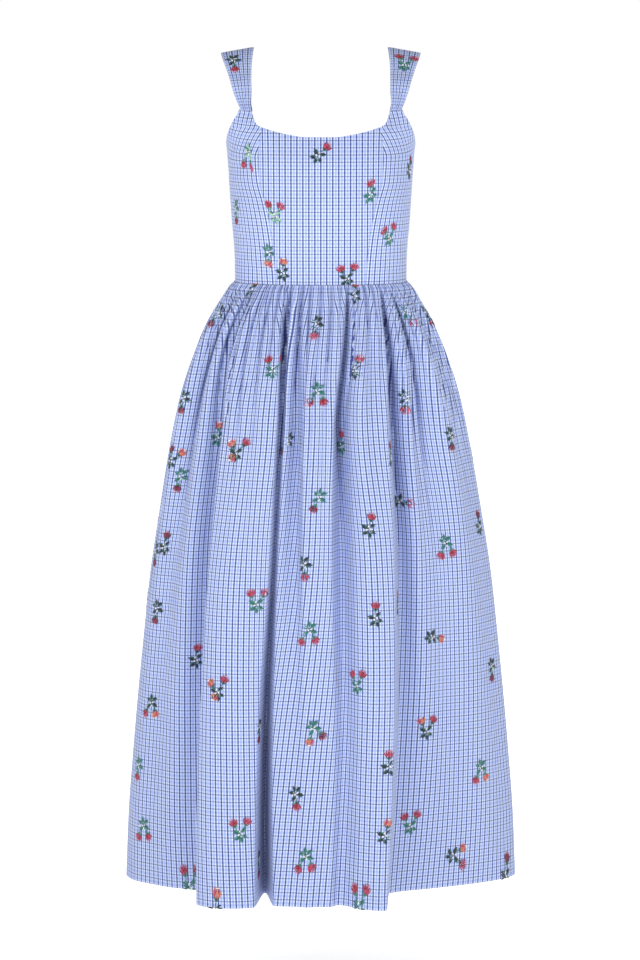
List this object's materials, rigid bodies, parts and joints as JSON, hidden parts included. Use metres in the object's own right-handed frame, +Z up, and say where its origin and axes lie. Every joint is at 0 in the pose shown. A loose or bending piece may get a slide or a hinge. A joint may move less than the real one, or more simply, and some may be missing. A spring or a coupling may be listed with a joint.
{
  "type": "gathered midi dress",
  "caption": "Sleeveless midi dress with wide shoulder straps, a fitted bodice and a full skirt gathered at the waist, filled out as if worn.",
  "frame": {"origin": "on the shoulder line, midway between the two straps, where the wearer carries the dress", "axes": "+Z up, the front of the dress faces -Y, the wearer's left is at +X"},
  "size_m": [0.565, 0.4403, 1.1922],
  "materials": {
    "checked_cotton": "light blue woven cotton with a fine white and navy check",
    "zip_tape": "light blue woven tape",
    "painted_zinc": "light blue enamel",
    "embroidery_thread": "satin stitch in red, pink, peach, plum and green thread"
  },
  "bodies": {
    "dress": {"bodice_centre_front": "checked_cotton", "bodice_side_front_right": "checked_cotton", "bodice_side_front_left": "checked_cotton", "bodice_back_right": "checked_cotton", "bodice_back_left": "checked_cotton", "strap_right": "checked_cotton", "strap_left": "checked_cotton", "skirt_front": "checked_cotton", "skirt_back_right": "checked_cotton", "skirt_back_left": "checked_cotton", "zip_tape": "zip_tape", "zip_slider": "painted_zinc"},
    "pull_tab": {"zip_pull": "painted_zinc"}
  },
  "joints": [
    {"name": "zip_pull_hinge", "type": "hinge", "parent": "dress", "child": "pull_tab", "pos_m": [0, 0.10122, -0.159], "axis": [1, 0, 0], "range_deg": [0, 165]}
  ]
}
